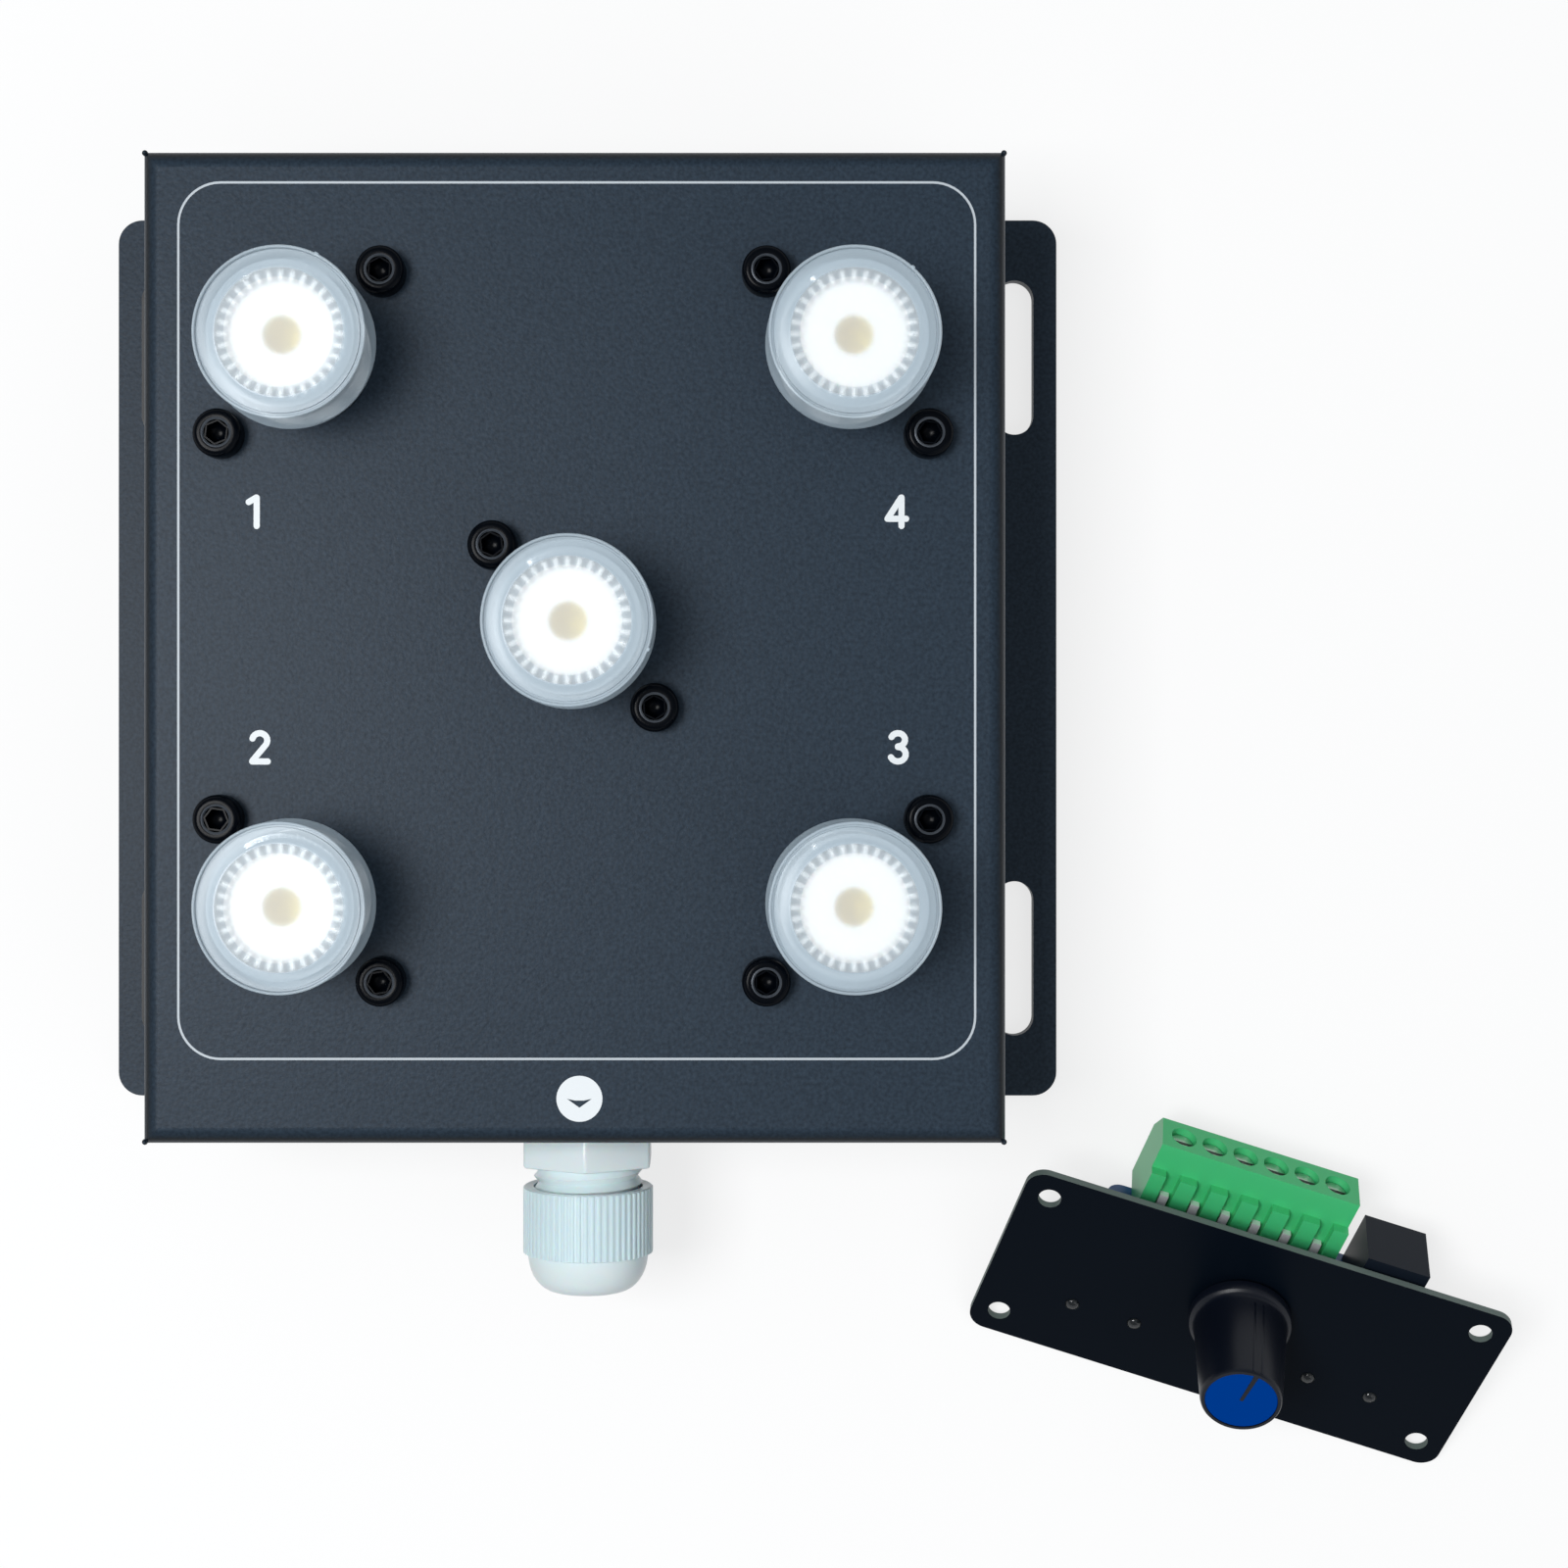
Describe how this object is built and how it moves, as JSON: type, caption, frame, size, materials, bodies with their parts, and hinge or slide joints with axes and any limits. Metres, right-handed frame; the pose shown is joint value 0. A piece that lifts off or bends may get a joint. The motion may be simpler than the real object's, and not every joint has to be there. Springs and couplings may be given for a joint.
{
  "type": "coaxial antenna switch",
  "caption": "Remote coaxial antenna switch: wall box with capped sockets, relays inside and a cable gland, with a separate control unit carrying a selector knob, terminals and a power jack.",
  "frame": {"origin": "centre of the back plate's rear face, the face that lies on the wall or table", "axes": "+Z out of the front cover, the way the sockets point; -Y the side of the cable gland; +X the side of the control unit"},
  "size_m": [0.1727, 0.1583, 0.0546],
  "materials": {
    "box_paint": "fine textured powder coat",
    "black_steel": "black oxide",
    "zinc_steel": "zinc plated",
    "nickel": "nickel plated",
    "cap_plastic": "translucent frosted",
    "white_insulator": "waxy white",
    "gold_contact": "gold plated",
    "circuit_board": "solder mask",
    "terminal_plastic": "moulded",
    "relay_plastic": "moulded",
    "relay_iron": "plated soft iron",
    "gland_plastic": "moulded nylon",
    "gland_rubber": "matt",
    "panel_mask": "black solder mask on glass-fibre laminate",
    "switch_metal": "plain",
    "knob_plastic": "satin moulded",
    "knob_blue": "satin moulded",
    "jack_plastic": "moulded",
    "lamp_lens": "clear moulded"
  },
  "bodies": {
    "relay_box": {"back_plate": "box_paint", "front_cover": "box_paint", "cover_screws": "black_steel", "cover_press_nuts": "zinc_steel", "socket_shell_1": "nickel", "socket_shell_2": "nickel", "socket_shell_3": "nickel", "socket_shell_4": "nickel", "socket_shell_common": "nickel", "socket_insulators": "white_insulator", "socket_contacts": "gold_contact", "socket_screws": "black_steel", "socket_nuts": "zinc_steel", "board_spacers": "nickel", "relay_board": "circuit_board", "board_terminal": "terminal_plastic", "board_terminal_screws": "zinc_steel", "board_terminal_pins": "zinc_steel", "relay_case_1": "relay_plastic", "relay_base_1": "relay_plastic", "relay_magnet_1": "relay_iron", "relay_case_2": "relay_plastic", "relay_base_2": "relay_plastic", "relay_magnet_2": "relay_iron", "relay_case_3": "relay_plastic", "relay_base_3": "relay_plastic", "relay_magnet_3": "relay_iron", "relay_case_4": "relay_plastic", "relay_base_4": "relay_plastic", "relay_magnet_4": "relay_iron", "suppressor_diodes": "relay_plastic", "gland_body": "gland_plastic", "gland_locknut": "gland_plastic", "gland_gasket": "gland_rubber"},
    "dust_cap_1": {"dust_cap_1": "cap_plastic"},
    "dust_cap_2": {"dust_cap_2": "cap_plastic"},
    "dust_cap_3": {"dust_cap_3": "cap_plastic"},
    "dust_cap_4": {"dust_cap_4": "cap_plastic"},
    "dust_cap_common": {"dust_cap_common": "cap_plastic"},
    "gland_claw": {"gland_claw": "gland_plastic", "gland_seal": "gland_rubber"},
    "gland_nut": {"gland_nut": "gland_plastic"},
    "armature_1": {"relay_armature_1": "relay_iron"},
    "armature_2": {"relay_armature_2": "relay_iron"},
    "armature_3": {"relay_armature_3": "relay_iron"},
    "armature_4": {"relay_armature_4": "relay_iron"},
    "control_unit": {"control_panel": "panel_mask", "control_board": "circuit_board", "rotary_switch": "switch_metal", "switch_nut": "nickel", "terminal_block": "terminal_plastic", "terminal_screws": "zinc_steel", "terminal_pins": "zinc_steel", "power_jack": "jack_plastic", "jack_pin": "nickel", "indicator_lamps": "lamp_lens"},
    "selector": {"knob": "knob_plastic", "knob_cap": "knob_blue", "switch_shaft": "nickel"}
  },
  "joints": [
    {"name": "cap_pull_1", "type": "slide", "parent": "relay_box", "child": "dust_cap_1", "axis": [0, 0, 1], "range_m": [0, 0.02]},
    {"name": "cap_pull_2", "type": "slide", "parent": "relay_box", "child": "dust_cap_2", "axis": [0, 0, 1], "range_m": [0, 0.02]},
    {"name": "cap_pull_3", "type": "slide", "parent": "relay_box", "child": "dust_cap_3", "axis": [0, 0, 1], "range_m": [0, 0.02]},
    {"name": "cap_pull_4", "type": "slide", "parent": "relay_box", "child": "dust_cap_4", "axis": [0, 0, 1], "range_m": [0, 0.02]},
    {"name": "cap_pull_common", "type": "slide", "parent": "relay_box", "child": "dust_cap_common", "axis": [0, 0, 1], "range_m": [0, 0.02]},
    {"name": "claw_slide", "type": "slide", "parent": "relay_box", "child": "gland_claw", "axis": [0, 1, 0], "range_m": [0, 0.00246]},
    {"name": "gland_nut_turn", "type": "hinge", "parent": "gland_claw", "child": "gland_nut", "pos_m": [0.0008, -0.06385, 0.019], "axis": [0, 1, 0], "range_deg": [0, 588]},
    {"name": "armature_pull_1", "type": "hinge", "parent": "relay_box", "child": "armature_1", "pos_m": [-0.0115, 0.03531, 0.0133], "axis": [-1, 0, 0], "range_deg": [0, 4], "stiffness_Nm_per_rad": 0.02, "springref_deg": -5.73},
    {"name": "armature_pull_2", "type": "hinge", "parent": "relay_box", "child": "armature_2", "pos_m": [-0.0115, -0.0238, 0.0133], "axis": [-1, 0, 0], "range_deg": [0, 4], "stiffness_Nm_per_rad": 0.02, "springref_deg": -5.73},
    {"name": "armature_pull_3", "type": "hinge", "parent": "relay_box", "child": "armature_3", "pos_m": [0.0115, -0.0238, 0.0133], "axis": [-1, 0, 0], "range_deg": [0, 4], "stiffness_Nm_per_rad": 0.02, "springref_deg": -5.73},
    {"name": "armature_pull_4", "type": "hinge", "parent": "relay_box", "child": "armature_4", "pos_m": [0.0115, 0.03531, 0.0133], "axis": [-1, 0, 0], "range_deg": [0, 4], "stiffness_Nm_per_rad": 0.02, "springref_deg": -5.73},
    {"name": "unit_lift", "type": "slide", "parent": "relay_box", "child": "control_unit", "axis": [0, 0, 1], "range_m": [0, 0.1]},
    {"name": "selector_turn", "type": "hinge", "parent": "control_unit", "child": "selector", "pos_m": [0.08131, -0.08108, 0.00791], "axis": [-0.161, -0.5136, 0.8428], "range_deg": [-60, 60]}
  ],
  "couplings": [
    {"joint": "claw_slide", "follows": "gland_nut_turn", "m_per_rad": 0.00023873}
  ]
}
